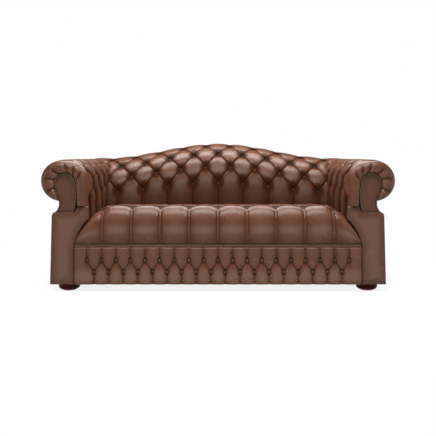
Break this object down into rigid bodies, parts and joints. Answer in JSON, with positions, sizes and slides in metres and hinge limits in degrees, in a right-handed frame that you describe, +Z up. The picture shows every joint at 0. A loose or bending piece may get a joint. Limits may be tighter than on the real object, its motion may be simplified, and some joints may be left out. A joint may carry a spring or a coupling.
{
  "type": "camelback sofa",
  "caption": "Deep-buttoned leather sofa with an arched camel back, scroll arms with nailed keyhole facings, a fixed sprung seat, a buttoned front border and bun feet.",
  "frame": {"origin": "on the floor, under the middle of the whole sofa's box", "axes": "+X along the width, towards the sitter's left seen from the front; -Y is the front the sitter faces; +Z up"},
  "size_m": [2.005, 0.9346, 0.8729],
  "materials": {
    "leather": "brown aniline leather with an antique, partly rubbed finish",
    "foam": "polyurethane foam and wadding",
    "lining_board": "stiff hessian and fibre lining over the frame",
    "nail_brass": "antique dark brass",
    "spring_steel": "oiled spring wire and zinc-plated bolts",
    "lining_cloth": "black non-woven cloth",
    "beech": "sawn beech",
    "mahogany": "turned wood, dark red-brown lacquer"
  },
  "bodies": {
    "root": {"arm_cover_L": "leather", "arm_cover_R": "leather", "arm_facing_L": "leather", "arm_facing_R": "leather", "arm_foam_L": "foam", "arm_foam_R": "foam", "arm_front_panel_L": "leather", "arm_front_panel_R": "leather", "arm_lining_L": "lining_board", "arm_lining_R": "lining_board", "arm_tacking_rail_L": "beech", "arm_tacking_rail_R": "beech", "arm_top_rail_L": "beech", "arm_top_rail_R": "beech", "back_base_rail": "beech", "back_cover": "leather", "back_foam": "foam", "back_lining": "lining_board", "back_rib_L": "beech", "back_rib_R": "beech", "back_rib_centre": "beech", "back_tacking_rail": "beech", "back_top_rail": "beech", "back_upright_L": "beech", "back_upright_R": "beech", "centre_cross_rail": "beech", "corner_block_front_L": "beech", "corner_block_front_R": "beech", "corner_block_rear_L": "beech", "corner_block_rear_R": "beech", "dust_cover": "lining_cloth", "facing_nail_trim_L": "nail_brass", "facing_nail_trim_R": "nail_brass", "foot_bolt_front_L": "spring_steel", "foot_bolt_front_R": "spring_steel", "foot_bolt_rear_L": "spring_steel", "foot_bolt_rear_R": "spring_steel", "foot_front_L": "mahogany", "foot_front_R": "mahogany", "foot_rear_L": "mahogany", "foot_rear_R": "mahogany", "front_arm_board_L": "beech", "front_arm_board_R": "beech", "front_border": "leather", "front_seat_rail": "beech", "outside_arm_L": "leather", "outside_arm_R": "leather", "outside_back": "leather", "rear_arm_board_L": "beech", "rear_arm_board_R": "beech", "rear_seat_rail": "beech", "seat_cover": "leather", "seat_foam": "foam", "seat_nail_trim": "nail_brass", "seat_spring_unit": "spring_steel", "seat_welt": "leather", "side_rail_L": "beech", "side_rail_R": "beech", "spring_cover": "lining_cloth"}
  },
  "joints": []
}
